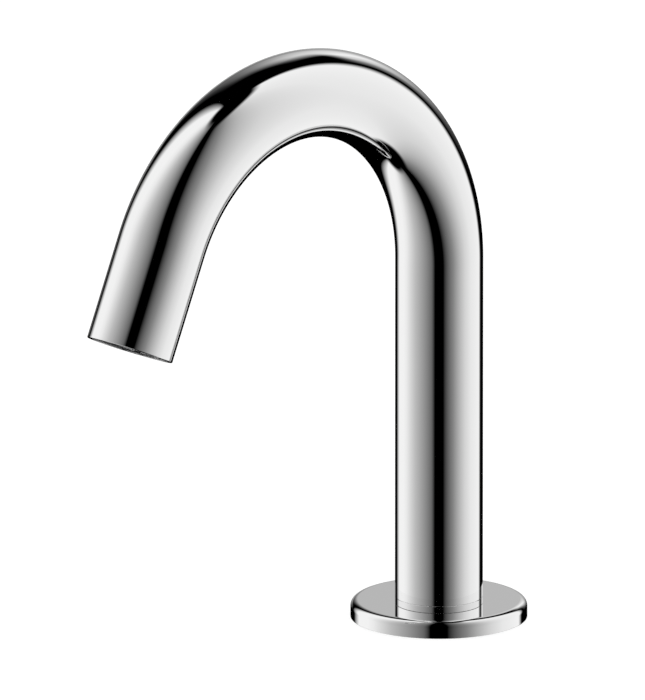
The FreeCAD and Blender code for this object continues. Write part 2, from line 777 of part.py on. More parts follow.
def make_carrier():
    groove_r = carrier_r - ring_groove_depth
    body = turned([
        (0, face_recess), (carrier_r, face_recess), (carrier_r, carrier_seal_low),
        (groove_r, carrier_seal_low), (groove_r, carrier_seal_top), (carrier_r, carrier_seal_top),
        (carrier_r, carrier_height), (0, carrier_height),
    ])
    plug_low = carrier_height - tail_plug_length
    boot_low = housing_top + loose_fit
    cable_y = -sensor_cable_forward
    screw_start = tube_r - screw_recess - carrier_screw_length
    cuts = [
        cylinder(aerator_r + loose_fit, face_recess, washer_top, 0, aerator_y),
        cylinder(aerator_r - chamber_ledge, washer_top, chamber_top, 0, aerator_y),
        cylinder(tail_bore_d / 2, chamber_top, plug_low, 0, aerator_y),
        cylinder(tail_plug_d / 2 + fit, plug_low, carrier_height, 0, aerator_y),
        crescent(face_recess, boot_low, -loose_fit),
        cylinder(sensor_cable_d / 2 + boot_wall + loose_fit, boot_low, carrier_height, sensor_cable_x, cable_y),
        Part.makeCylinder(carrier_screw_d / 2, tube_r, vec(0, screw_start, carrier_screw_height), BACK),
    ]
    seal = seal_ring(groove_r + fit, bore_r - fit, carrier_seal_low + fit, carrier_seal_top - fit)
    screw = grub_screw(carrier_screw_d, carrier_screw_length)
    boot = sleeve(sensor_cable_d / 2 + fit, sensor_cable_d / 2 + boot_wall, boot_low,
                  boot_low + boot_length, sensor_cable_x, cable_y)
    return {
        "outlet_carrier": body.cut(cuts),
        "carrier_seal": seal,
        "carrier_screw": laid_back(screw, screw_start, carrier_screw_height),
        "cable_boot": boot,
    }


def make_aerator():
    """Stack in the aerator's ring, from the outlet face up: honeycomb, jet plate, regulator, washer."""
    bore = aerator_r - aerator_ring_wall
    lip = bore - aerator_lip
    lip_top = aerator_low + aerator_lip
    housing = turned([
        (lip, aerator_low), (aerator_r, aerator_low), (aerator_r, aerator_top), (bore, aerator_top),
        (bore, lip_top), (lip, lip_top),
    ], 0, aerator_y)
    notch = block(lip / 2, 2 * aerator_r, aerator_y - aerator_notch_width / 2,
                  aerator_y + aerator_notch_width / 2, aerator_low, aerator_low + aerator_notch_depth)
    notches = around(notch, aerator_notches, 0, aerator_y)
    for cut in notches:
        cut.rotate(vec(0, aerator_y), UP, 180.0 / aerator_notches)

    comb_low = lip_top
    comb_top = comb_low + honeycomb_height
    jet_low = comb_top + 2 * loose_fit
    jet_top = jet_low + jet_plate_thickness
    regulator_top = aerator_top
    regulator_low = regulator_top - regulator_height
    insert_r = bore - fit
    jets = around(cylinder(jet_hole_d / 2, jet_low, jet_top, insert_r - jet_circle_inset, aerator_y),
                  jet_holes, 0, aerator_y)
    jet_plate = turned([
        (0, jet_low), (insert_r, jet_low), (insert_r, regulator_low),
        (insert_r - jet_ring_wall, regulator_low), (insert_r - jet_ring_wall, jet_top), (0, jet_top),
    ], 0, aerator_y).cut(jets)

    ring_inner = regulator_ring_d / 2 - regulator_ring_section
    groove_low = regulator_top - regulator_ring_section - fit
    regulator = cylinder(insert_r, regulator_low, regulator_top, 0, aerator_y)
    groove = sleeve(ring_inner - fit, regulator_ring_d / 2 + 2 * loose_fit, groove_low, regulator_top,
                    0, aerator_y)
    port = block(
        regulator_ring_d / 2 - regulator_slot_reach, regulator_ring_d / 2 + regulator_slot_reach,
        aerator_y - regulator_slot_width / 2, aerator_y + regulator_slot_width / 2,
        regulator_low, regulator_top)
    ring = seal_ring(ring_inner, regulator_ring_d / 2, groove_low, regulator_top - fit, 0, aerator_y)
    washer = sleeve(aerator_r - washer_width, aerator_r, aerator_top, washer_top, 0, aerator_y)
    return {
        "aerator_housing": housing.cut(notches),
        "honeycomb_insert": make_honeycomb(insert_r, comb_low, comb_top),
        "jet_plate": jet_plate,
        "flow_regulator": regulator.cut([groove] + around(port, regulator_slots, 0, aerator_y)),
        "regulator_o_ring": ring,
        "aerator_washer": washer,
    }


def make_honeycomb(radius, low, high):
    """Round block with every whole hexagonal cell that fits inside its rim."""
    cell = honeycomb_pitch - honeycomb_web
    rows = int(radius / honeycomb_pitch) + 1
    cells = []
    for row in range(-rows, rows + 1):
        for column in range(-rows, rows + 1):
            x = honeycomb_pitch * row * math.sqrt(3) / 2
            y = honeycomb_pitch * (column + 0.5 * (row % 2))
            if math.hypot(x, y) + cell / math.sqrt(3) < radius - honeycomb_web:
                cells.append(hexagon(cell, low, high, x, aerator_y + y))
    return cylinder(radius, low, high, 0, aerator_y).cut(cells)


def make_sensor():
    board_top = board_height + board_thickness
    cable_y = -sensor_cable_forward
    cable_hole = cylinder(sensor_cable_d / 2 + fit, board_top, housing_top, sensor_cable_x, cable_y)
    cavity_top = housing_top - housing_wall
    housing = crescent(housing_low, housing_top).cut([
        crescent(housing_low, board_top, housing_wall),
        crescent(board_top, cavity_top, housing_wall + board_ledge),
        cable_hole,
    ])
    inner = crescent(housing_low, board_height, housing_wall)
    for side in (-1, 1):
        centre = side * (baffle_offset + baffle_thickness / 2)
        wall = block(centre - baffle_thickness / 2, centre + baffle_thickness / 2, -2 * tube_r, 0,
                     housing_low, board_height)
        housing = housing.fuse(inner.common(wall))
    window = crescent(window_low, window_top)
    gasket = crescent(window_top, housing_low).cut(
        crescent(window_top, housing_low, window_gasket_width))
    optic_r = optic_d / 2
    optic_low = board_height - optic_height
    dome = Part.makeSphere(optic_r, vec(0, 0, optic_low + optic_r))
    optic = cylinder(optic_r, optic_low + optic_r, board_height).fuse(dome).removeSplitter()
    optics = []
    for side in (-1, 1):
        copy = optic.copy()
        copy.translate(vec(side * optic_spread, optic_inset - window_r, 0))
        optics.append(copy)
    led = cylinder(led_d / 2, board_height - led_height, board_height, 0, led_inset - window_r)
    return {
        "sensor_window": window,
        "window_gasket": gasket,
        "sensor_housing": housing.removeSplitter(),
        "sensor_board": crescent(board_height, board_top, housing_wall + fit),
        "ir_emitter": optics[0],
        "ir_receiver": optics[1],
        "status_led": led,
    }


# ---------------------------------------------------------------- the whole tap
def make_tap():
    tap = {"spout_tube": make_spout_tube()}
    tap.update(make_flange())
    tap["flange_clip"] = make_flange_clip()
    tap["foot_body"] = make_foot_body()
    tap.update(make_foot_trim())
    tap.update(make_diaphragm())
    tap.update(make_bonnet())
    tap.update(make_core())
    tap.update(make_plunger())
    tap.update(make_coil())
    tap["solenoid_lead"] = make_solenoid_lead()
    tap.update(make_hose())
    tap["sensor_cable"] = make_sensor_cable()
    tap.update(make_carrier_and_outlet())
    return tap


def make_carrier_and_outlet():
    outlet = make_carrier()
    outlet.update(make_aerator())
    outlet.update(make_sensor())
    return {name: at_tip(shape) for name, shape in outlet.items()}


os.makedirs("parts", exist_ok=True)
for node, solid in make_tap().items():
    solid.exportStep(os.path.join("parts", node + ".step"))
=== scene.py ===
import json
import logging
import math
from dataclasses import dataclass
from enum import Enum
from typing import Optional, Union

import bmesh
import bpy
from mathutils import Matrix, Vector


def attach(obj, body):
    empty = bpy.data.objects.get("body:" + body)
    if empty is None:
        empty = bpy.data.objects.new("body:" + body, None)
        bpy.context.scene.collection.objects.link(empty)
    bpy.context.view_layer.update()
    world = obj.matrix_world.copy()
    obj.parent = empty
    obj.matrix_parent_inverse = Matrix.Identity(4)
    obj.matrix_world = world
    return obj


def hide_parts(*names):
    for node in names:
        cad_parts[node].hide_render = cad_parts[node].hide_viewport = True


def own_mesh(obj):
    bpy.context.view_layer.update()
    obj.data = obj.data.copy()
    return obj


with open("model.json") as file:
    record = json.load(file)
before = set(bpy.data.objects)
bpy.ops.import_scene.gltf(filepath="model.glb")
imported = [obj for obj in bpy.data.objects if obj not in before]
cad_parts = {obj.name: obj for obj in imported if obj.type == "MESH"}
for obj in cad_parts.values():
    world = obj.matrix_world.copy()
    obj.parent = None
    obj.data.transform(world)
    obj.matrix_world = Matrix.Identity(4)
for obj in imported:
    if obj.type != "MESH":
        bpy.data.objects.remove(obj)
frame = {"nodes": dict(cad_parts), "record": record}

LOG = logging.getLogger("sensor_tap")
MM = 0.001
ROOT_BODY = "tap_body"

# Sockets of the Mix node when it mixes colours
MIX_FACTOR, MIX_FIRST, MIX_SECOND, MIX_RESULT = 0, 6, 7, 2
# Length of one band of the wave texture at a scale of 1
WAVE_LENGTH = 0.314
# Half a turn in degrees
HALF_TURN = 180.0
# Furthest that a guard point stands from its arc, and the largest share of the edge that it may take
GUARD_REACH = 0.1 * MM
GUARD_SHARE = 0.2

Socket = bpy.types.NodeSocket
Value = Union[Socket, float, tuple, str, bpy.types.Material]
Point = tuple[float, float]
Pair = tuple[float, float]


# ---------------------------------------------------------------- helpers
class NodeBoard:
    """Adds nodes to one tree and links them, with each input named by its socket."""

    def __init__(self, tree: bpy.types.NodeTree) -> None:
        """Clears the tree that the nodes go on.

        Args:
            tree: A shader or geometry tree.
        """
        self.tree = tree
        tree.nodes.clear()

    def add(self, kind: str, inputs: Optional[dict] = None, **settings: object) -> bpy.types.Node:
        """Adds one node.

        Args:
            kind: The node's type name.
            inputs: Input names or numbers, each with a socket to link or a value to set.
            **settings: The node's own properties.

        Returns:
            The new node.
        """
        node = self.tree.nodes.new(kind)
        for name, value in settings.items():
            setattr(node, name, value)
        for key, value in (inputs or {}).items():
            if isinstance(value, Socket):
                self.tree.links.new(value, node.inputs[key])
            else:
                node.inputs[key].default_value = value
        return node

    def maths(self, operation: str, *terms: Value) -> Socket:
        """Adds a Math node and returns its output.

        Args:
            operation: The operation's name.
            *terms: One value or socket for each input.

        Returns:
            The result's socket.
        """
        return self.add("ShaderNodeMath", dict(enumerate(terms)), operation=operation).outputs[0]

    def ease(self, value: Socket, low: float, high: float) -> Socket:
        """Smooth step from 0 at the low value to 1 at the high one."""
        limits = {"Value": value, "From Min": low, "From Max": high}
        return self.add("ShaderNodeMapRange", limits, interpolation_type="SMOOTHSTEP").outputs[0]

    def spread(self, value: Socket, low: float, high: float) -> Socket:
        """Maps 0 to 1 on to a range."""
        return self.add("ShaderNodeMapRange", {"Value": value, "To Min": low, "To Max": high}).outputs[0]


def rounded(corners: list[tuple[float, float, float]], steps: int = 8) -> list[Point]:
    """Closed outline with each corner turned into an arc, and a point just before and after each arc.

    Args:
        corners: (across, along, radius) of each corner in metres.
        steps: Faces in each arc.

    Returns:
        The outline's points.
    """
    outline = []
    for i, (x, y, radius) in enumerate(corners):
        corner = Vector((x, y))
        back = Vector(corners[i - 1][:2]) - corner
        ahead = Vector(corners[(i + 1) % len(corners)][:2]) - corner
        back_run, ahead_run = back.length, ahead.length
        back.normalize()
        ahead.normalize()
        half = back.angle(ahead) / 2
        reach = radius / math.tan(half)
        middle = corner + (back + ahead).normalized() * (radius / math.sin(half))
        start = corner + back * reach - middle
        turn = start.angle_signed(corner + ahead * reach - middle)
        guard = min(GUARD_REACH, GUARD_SHARE * back_run, GUARD_SHARE * ahead_run)
        outline.append(tuple(corner + back * (reach + guard)))
        for k in range(steps + 1):
            angle = math.atan2(start.y, start.x) - turn * k / steps
            outline.append((middle.x + radius * math.cos(angle), middle.y + radius * math.sin(angle)))
        outline.append(tuple(corner + ahead * (reach + guard)))
    return outline


def turned(name: str, outline: list[Point], sides: int) -> bpy.types.Object:
    """Closed ring turned about the Z axis from an outline that doesn't touch the axis.

    Args:
        name: The object's name.
        outline: (radius, height) points of the closed outline.
        sides: Faces round the ring.

    Returns:
        The new object, shaded smooth.
    """
    count = len(outline)
    points, faces = [], []
    for side in range(sides):
        angle = 2 * math.pi * side / sides
        points += [(r * math.cos(angle), r * math.sin(angle), z) for r, z in outline]
        this, after = side * count, (side + 1) % sides * count
        for i in range(count):
            j = (i + 1) % count
            faces.append((this + i, after + i, after + j, this + j))
    return piece(name, points, faces)


def piece(name: str, points: list[tuple], faces: list[tuple]) -> bpy.types.Object:
    """New object from points and faces, closed, facing outwards and shaded smooth.

    Args:
        name: The object's name.
        points: The corners in metres.
        faces: The corners' numbers, face by face.

    Returns:
        The new object in the scene.
    """
    mesh = bpy.data.meshes.new(name)
    mesh.from_pydata(points, [], faces)
    work = bmesh.new()
    work.from_mesh(mesh)
    bmesh.ops.recalc_face_normals(work, faces=work.faces)
    work.to_mesh(mesh)
    work.free()
    mesh.shade_smooth()
    made = bpy.data.objects.new(name, mesh)
    bpy.context.scene.collection.objects.link(made)
    return made


def set_inputs(modifier: bpy.types.NodesModifier, wanted: dict[str, object]) -> None:
    """Sets a Geometry Nodes modifier's inputs by their sockets' identifiers.

    Args:
        modifier: The modifier, with its tree.
        wanted: The value of each input, by the input's name.
    """
    for socket in modifier.node_group.interface.items_tree:
        if socket.name in wanted:
            modifier[socket.identifier] = wanted[socket.name]


def settled(source: bpy.types.Object) -> bpy.types.Object:
    """Turns an object's modifiers into its mesh and removes them.

    Args:
        source: The object with its modifiers.

    Returns:
        The same object with a plain mesh.
    """
    graph = bpy.context.evaluated_depsgraph_get()
    mesh = bpy.data.meshes.new_from_object(source.evaluated_get(graph), depsgraph=graph)
    source.modifiers.clear()
    source.data = mesh
    mesh.name = source.name
    return source


# ---------------------------------------------------------------- finishes
class Grain(Enum):
    """What the making of a surface left on it."""

    MIRROR = "mirror"
    TURNED = "turned"
    MOULDED = "moulded"
    SINTERED = "sintered"
    WOUND = "wound"
    BOARD = "board"


class Seat(Enum):
    """The axis that a turned piece was turned about: its foot in millimetres and its tilt in degrees."""

    COLUMN = (0.0, 0.0, 0.0, 0.0)
    VALVE = (0.0, 4.9, 0.0, 0.0)
    HOSE = (0.0, -8.2, 0.0, 0.0)
    OUTLET = (0.0, -147.396, 121.045, -24.2)


@dataclass(frozen=True)
class Finish:
    """One finish of the record: its gloss and its grain, with the colour read from the record.

    The roughness varies by its spread with the grain, whose pitch and depth are in metres. Where
    polished_from is set, what lies further out than that radius is polished to a share of its roughness.
    """

    slot: str
    grain: Grain
    roughness: float
    spread: float = 0.0
    metallic: float = 0.0
    pitch: float = 1.0 * MM
    depth: float = 0.0
    coat: float = 0.0
    mottle: float = 0.0
    polished_from: float = 0.0
    polish_run: float = 0.1 * MM
    polish_share: float = 0.1

    def colour(self) -> tuple[float, float, float, float]:
        """The slot's own colour in the record."""
        found = [m["base_color"] for m in frame["record"]["materials"] if m["slot"] == self.slot]
        return (*found[0], 1.0)

    def height(self, board: NodeBoard, place: Socket) -> Socket:
        """Pattern of the grain from 0 to 1.

        Args:
            board: The material's nodes.
            place: Object coordinates turned into the seat's own.

        Returns:
            The pattern's socket.
        """
        if self.grain in (Grain.TURNED, Grain.WOUND):
            form = {"wave_type": "RINGS", "rings_direction": "Z"}
            if self.grain is Grain.WOUND:
                form = {"wave_type": "BANDS", "bands_direction": "Z"}
            waves = {"Vector": place, "Scale": WAVE_LENGTH / self.pitch, "Distortion": 0.4, "Detail": 1.0}
            return board.add("ShaderNodeTexWave", waves, **form).outputs["Fac"]
        if self.grain is Grain.BOARD:
            cells = {"Vector": place, "Scale": 1 / self.pitch}
            edge = board.add("ShaderNodeTexVoronoi", cells, feature="DISTANCE_TO_EDGE", distance="CHEBYCHEV")
            return board.ease(edge.outputs["Distance"], low=0.04, high=0.09)
        detail = 4.0 if self.grain is Grain.SINTERED else 2.0
        noise = {"Vector": place, "Scale": 1 / self.pitch, "Detail": detail}
        return board.add("ShaderNodeTexNoise", noise).outputs["Fac"]

    def material(self, seat: Seat = Seat.COLUMN) -> bpy.types.Material:
        """Builds the node material, or returns the one already made for this seat.

        Args:
            seat: The axis that the grain runs round.

        Returns:
            The material.
        """
        name = f"{self.slot}_{seat.name.lower()}"
        if name in bpy.data.materials:
            return bpy.data.materials[name]
        made = bpy.data.materials.new(name)
        made.use_nodes = True
        board = NodeBoard(made.node_tree)
        x, y, z, tilt = seat.value
        place = board.add("ShaderNodeMapping", {
            "Vector": board.add("ShaderNodeTexCoord").outputs["Object"],
            "Location": (x * MM, y * MM, z * MM), "Rotation": (math.radians(tilt), 0.0, 0.0),
        }, vector_type="TEXTURE").outputs["Vector"]
        grain = self.height(board, place)
        colour = self.colour()
        if self.mottle:
            dark = tuple(c * (1 - self.mottle) for c in colour[:3]) + (1.0,)
            mix = {MIX_FACTOR: grain, MIX_FIRST: dark, MIX_SECOND: colour}
            colour = board.add("ShaderNodeMix", mix, data_type="RGBA").outputs[MIX_RESULT]
        roughness = board.spread(grain, self.roughness - self.spread, self.roughness + self.spread)
        if self.polished_from:
            x, y, _ = board.add("ShaderNodeSeparateXYZ", {0: place}).outputs
            away = board.maths("SQRT", board.maths("MULTIPLY_ADD", x, x, board.maths("MULTIPLY", y, y)))
            inside = board.ease(away, self.polished_from + self.polish_run, self.polished_from)
            roughness = board.maths("MULTIPLY", roughness, board.spread(inside, self.polish_share, 1.0))
            grain = board.maths("MULTIPLY", grain, inside)
        shader = board.add("ShaderNodeBsdfPrincipled", {
            "Base Color": colour, "Metallic": self.metallic, "Coat Weight": self.coat, "Roughness": roughness,
        })
        if self.depth:
            bump = {"Height": grain, "Strength": 1.0, "Distance": self.depth}
            board.tree.links.new(board.add("ShaderNodeBump", bump).outputs["Normal"], shader.inputs["Normal"])
        board.add("ShaderNodeOutputMaterial", {"Surface": shader.outputs["BSDF"]})
        return made


FINISHES = {finish.slot: finish for finish in (
    Finish("polished_chrome", Grain.MIRROR, roughness=0.025, spread=0.008, metallic=1.0, pitch=22 * MM),
    Finish("plated_brass", Grain.TURNED, roughness=0.28, spread=0.05, metallic=1.0, pitch=0.25 * MM,
           depth=0.002 * MM, polished_from=14.8 * MM),
    Finish("seam_ring", Grain.MOULDED, roughness=0.45, spread=0.05, metallic=0.0, pitch=0.4 * MM,
           depth=0.01 * MM),
    Finish("seal_rubber", Grain.MOULDED, roughness=0.62, spread=0.08, metallic=0.0, pitch=0.3 * MM,
           depth=0.02 * MM, mottle=0.3),
    Finish("stainless", Grain.TURNED, roughness=0.26, spread=0.06, metallic=1.0, pitch=0.15 * MM,
           depth=0.002 * MM),
    Finish("brass_fitting", Grain.TURNED, roughness=0.22, spread=0.06, metallic=1.0, pitch=0.2 * MM,
           depth=0.002 * MM),
    Finish("carrier_plastic", Grain.MOULDED, roughness=0.5, spread=0.08, metallic=0.0, pitch=0.5 * MM,
           depth=0.02 * MM, mottle=0.25),
    Finish("aerator_plastic", Grain.MOULDED, roughness=0.38, spread=0.05, metallic=0.0, pitch=0.6 * MM,
           depth=0.008 * MM, mottle=0.05),
    Finish("sensor_dark", Grain.MIRROR, roughness=0.06, spread=0.01, metallic=0.0, pitch=4 * MM, coat=0.6),
    Finish("housing_black", Grain.MOULDED, roughness=0.48, spread=0.06, metallic=0.0, pitch=0.5 * MM,
           depth=0.015 * MM, mottle=0.2),
    Finish("circuit_green", Grain.BOARD, roughness=0.3, spread=0.06, metallic=0.0, pitch=1.3 * MM,
           depth=0.03 * MM, coat=0.5, mottle=0.35),
    Finish("optic_plastic", Grain.MIRROR, roughness=0.08, spread=0.02, metallic=0.0, pitch=3 * MM,
           coat=0.5),
    Finish("led_red", Grain.MIRROR, roughness=0.1, spread=0.02, metallic=0.0, pitch=2 * MM, coat=0.5),
    Finish("coil_copper", Grain.WOUND, roughness=0.28, spread=0.05, metallic=1.0, pitch=0.22 * MM,
           depth=0.08 * MM, mottle=0.35),
    Finish("magnet_ferrite", Grain.SINTERED, roughness=0.6, spread=0.1, metallic=0.2, pitch=0.5 * MM,
           depth=0.03 * MM, mottle=0.3),
    Finish("coil_plastic", Grain.MOULDED, roughness=0.45, spread=0.05, metallic=0.0, pitch=0.7 * MM,
           depth=0.01 * MM, mottle=0.08),
    Finish("hose_plastic", Grain.MOULDED, roughness=0.4, spread=0.06, metallic=0.0, pitch=1.2 * MM,
           depth=0.01 * MM, mottle=0.1),
    Finish("cable_black", Grain.MOULDED, roughness=0.5, spread=0.05, metallic=0.0, pitch=0.6 * MM,
           depth=0.01 * MM, mottle=0.2),
)}


# ---------------------------------------------------------------- the tap's pieces
@dataclass
class SpoutTube:
    """The bent tube: turned straight with its rims eased, drilled for its two screws, then bent.

    The rings of points by a hole are given in its own radii, and the drill's start in the tube's.
    """

    outer_r: float = 15.0 * MM
    wall: float = 1.5 * MM
    low: float = 7.3 * MM
    bend_start: float = 126.45 * MM
    bend_radius: float = 69.15 * MM
    bend_angle: float = math.radians(155.8)
    tip_length: float = 37.0 * MM
    foot_ease: float = 0.03 * MM
    rim_ease: float = 0.3 * MM
    bore_ease: float = 0.1 * MM
    foot_hole_r: float = 2.6 * MM
    foot_hole_z: float = 12.0 * MM
    tip_hole_r: float = 1.6 * MM
    tip_hole_rise: float = 14.2 * MM
    hole_ease: float = 0.2 * MM
    foot_hole_rings: tuple[float, ...] = (-1.2, 0.0, 1.2, 3.0)
    tip_hole_rings: tuple[float, ...] = (-1.4, 0.0, 1.4)
    drill_start: float = 0.7
    drill_sides: int = 48
    sides: int = 192
    arc_steps: int = 220

    def high(self) -> float:
        """Height of the straight tube's upper end, before it is bent."""
        return self.bend_start + self.bend_radius * self.bend_angle + self.tip_length

    def outline(self) -> list[Point]:
        """The wall's outline, with rings close together along the bend and at the holes.

        Returns:
            (radius, height) points of the closed outline.
        """
        inner_r = self.outer_r - self.wall
        arc_end = self.bend_start + self.bend_radius * self.bend_angle
        ends = rounded([
            (self.outer_r, self.low, self.foot_ease), (self.outer_r, self.high(), self.rim_ease),
            (inner_r, self.high(), self.bore_ease), (inner_r, self.low, self.bore_ease),
        ])
        quarter = len(ends) // 4
        tip_hole_z = self.high() - self.tip_hole_rise
        near_holes = [self.foot_hole_z + step * self.foot_hole_r for step in self.foot_hole_rings]
        near_holes += [tip_hole_z + step * self.tip_hole_r for step in self.tip_hole_rings]
        bend = [self.bend_start + (arc_end - self.bend_start) * i / self.arc_steps
                for i in range(self.arc_steps + 1)]
        outside = sorted(near_holes + bend)
        inside = sorted(near_holes + bend[::2], reverse=True)
        return (ends[:quarter] + [(self.outer_r, z) for z in outside]
                + ends[quarter:3 * quarter] + [(inner_r, z) for z in inside] + ends[3 * quarter:])

    def drill(self, name: str, radius: float, height: float, side: int) -> bpy.types.Object:
        """Drill with a flared mouth that eases the hole's edge.

        Args:
            name: The drill's name.
            radius: The hole's radius.
            height: The hole's height on the straight tube.
            side: 1 for the side away from the spout, -1 for the other.

        Returns:
            The drill, to be cut away and removed.
        """
        reach = [(self.drill_start * self.outer_r, radius), (self.outer_r - self.hole_ease, radius),
                 (self.outer_r + self.hole_ease, radius + 2 * self.hole_ease)]
        points, faces = [], []
        count = self.drill_sides
        for along, r in reach:
            for i in range(count):
                angle = 2 * math.pi * i / count
                points.append((r * math.cos(angle), side * along, height + r * math.sin(angle)))
        for ring in range(len(reach) - 1):
            for i in range(count):
                j = (i + 1) % count
                a, b = ring * count, (ring + 1) * count
                faces.append((a + i, a + j, b + j, b + i))
        last = (len(reach) - 1) * count
        faces.append(tuple(range(count)))
        faces.append(tuple(last + i for i in range(count)))
        return piece(name, points, faces)

    def bend_tree(self) -> bpy.types.NodeTree:
        """Geometry nodes that bend an upright tube over one arc towards -Y.

        Returns:
            The tree, with the bend's start, radius, angle and the finish as inputs.
        """
        tree = bpy.data.node_groups.new("spout_bend", "GeometryNodeTree")
        face = tree.interface
        face.new_socket(name="Tube", in_out="INPUT", socket_type="NodeSocketGeometry")
        for name in ("Bend Start", "Bend Radius", "Bend Angle"):
            face.new_socket(name=name, in_out="INPUT", socket_type="NodeSocketFloat")
        face.new_socket(name="Finish", in_out="INPUT", socket_type="NodeSocketMaterial")
        face.new_socket(name="Tube", in_out="OUTPUT", socket_type="NodeSocketGeometry")
        board = NodeBoard(tree)
        given = board.add("NodeGroupInput").outputs
        start, radius, angle = given["Bend Start"], given["Bend Radius"], given["Bend Angle"]
        place = board.add("ShaderNodeSeparateXYZ", {0: board.add("GeometryNodeInputPosition").outputs[0]})
        x, y, z = place.outputs
        past = board.maths("SUBTRACT", z, start)
        turn = board.maths("MAXIMUM", board.maths("DIVIDE", past, radius), 0.0)
        turn = board.maths("MINIMUM", turn, angle)
        arc = board.maths("MULTIPLY", radius, angle)
        beyond = board.maths("MAXIMUM", board.maths("SUBTRACT", past, arc), 0.0)
        column = board.maths("MINIMUM", z, start)
        cos, sin = board.maths("COSINE", turn), board.maths("SINE", turn)
        out = board.maths("ADD", radius, y)
        level = board.maths("MULTIPLY_ADD", out, cos, board.maths("MULTIPLY", radius, -1.0))
        level = board.maths("SUBTRACT", level, board.maths("MULTIPLY", sin, beyond))
        height = board.maths("MULTIPLY_ADD", out, sin, column)
        height = board.maths("MULTIPLY_ADD", cos, beyond, height)
        bent = board.add("ShaderNodeCombineXYZ", {"X": x, "Y": level, "Z": height})
        moved = board.add("GeometryNodeSetPosition", {"Geometry": given["Tube"], "Position": bent.outputs[0]})
        whole = board.add("GeometryNodeRealizeInstances", {"Geometry": moved.outputs[0]})
        dressed = board.add("GeometryNodeSetMaterial",
                            {"Geometry": whole.outputs[0], "Material": given["Finish"]})
        board.add("NodeGroupOutput", {0: dressed.outputs[0]})
        return tree

    def build(self) -> bpy.types.Object:
        """Turns, drills and bends the tube.

        Returns:
            The finished tube in its place.
        """
        tube = turned("tube", self.outline(), self.sides)
        drills = [
            self.drill("foot_drill", self.foot_hole_r, self.foot_hole_z, 1),
            self.drill("tip_drill", self.tip_hole_r, self.high() - self.tip_hole_rise, -1),
        ]
        for drill in drills:
            cut = tube.modifiers.new(drill.name, "BOOLEAN")
            cut.object, cut.operation, cut.solver = drill, "DIFFERENCE", "EXACT"
        bend = tube.modifiers.new("bend", "NODES")
        bend.node_group = self.bend_tree()
        wanted = {"Bend Start": self.bend_start, "Bend Radius": self.bend_radius,
                  "Bend Angle": self.bend_angle, "Finish": FINISHES["polished_chrome"].material()}
        set_inputs(bend, wanted)
        settled(tube)
        for drill in drills:
            bpy.data.objects.remove(drill)
        return tube

    def dress(self, tube: bpy.types.Object) -> None:
        """Attaches the tube to its body and hides the node that it takes the place of.

        Args:
            tube: The finished tube.
        """
        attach(tube, ROOT_BODY)
        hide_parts("spout_tube")


@dataclass
class Flange:
    """The thick round flange with its eased upper edge and, underneath, its gasket groove and pocket."""

    outer_r: float = 30.2 * MM
    height: float = 6.0 * MM
    edge_ease: float = 2.4 * MM
    foot_ease: float = 0.15 * MM
    bore_r: float = 13.1 * MM
    bore_ease: float = 0.15 * MM
    groove_outer_r: float = 27.0 * MM
    groove_inner_r: float = 20.0 * MM
    groove_depth: float = 1.5 * MM
    pocket_r: float = 17.95 * MM
    pocket_depth: float = 2.35 * MM
    small_ease: float = 0.1 * MM
    sides: int = 256

    def build(self) -> bpy.types.Object:
        """Turns the flange.

        Returns:
            The finished flange in its place.
        """
        small = self.small_ease
        outline = rounded([
            (self.outer_r, 0.0, self.foot_ease), (self.outer_r, self.height, self.edge_ease),
            (self.bore_r, self.height, self.bore_ease), (self.bore_r, self.pocket_depth, small),
            (self.pocket_r, self.pocket_depth, small), (self.pocket_r, 0.0, small),
            (self.groove_inner_r, 0.0, small), (self.groove_inner_r, self.groove_depth, small),
            (self.groove_outer_r, self.groove_depth, small), (self.groove_outer_r, 0.0, small),
        ], steps=10)
        return turned("flange", outline, self.sides)

    def dress(self, flange: bpy.types.Object) -> None:
        """Gives the flange its finish, attaches it to its body and hides the node that it takes the place of.

        Args:
            flange: The turned flange.
        """
        flange.data.materials.append(FINISHES["polished_chrome"].material())
        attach(flange, ROOT_BODY)
        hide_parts("base_flange")


@dataclass
class DeckGasket:
    """Moulded ring under the flange, with sealing ribs where it meets the deck."""

    outer_r: float = 26.95 * MM
    inner_r: float = 20.05 * MM
    height: float = 1.5 * MM
    edge_ease: float = 0.2 * MM
    groove_places: tuple[float, ...] = (25.2 * MM, 23.5 * MM, 21.8 * MM)
    groove_width: float = 0.7 * MM
    groove_depth: float = 0.3 * MM
    sides: int = 192

    def build(self) -> bpy.types.Object:
        """Turns the gasket.

        Returns:
            The gasket in its groove.
        """
        ease, half = self.edge_ease, self.groove_width / 2
        corners = [(self.inner_r, 0.0, ease)]
        for place in reversed(self.groove_places):
            corners += [(place - half, 0.0, ease / 2), (place - half, self.groove_depth, ease / 2),
                        (place + half, self.groove_depth, ease / 2), (place + half, 0.0, ease / 2)]
        corners += [(self.outer_r, 0.0, ease), (self.outer_r, self.height, ease),
                    (self.inner_r, self.height, ease)]
        return turned("gasket", rounded(corners, steps=4), self.sides)

    def dress(self, gasket: bpy.types.Object) -> None:
        """Gives the gasket its finish, attaches it to its body and hides the node that it takes the place of.

        Args:
            gasket: The turned gasket.
        """
        gasket.data.materials.append(FINISHES["seal_rubber"].material())
        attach(gasket, ROOT_BODY)
        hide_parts("deck_gasket")


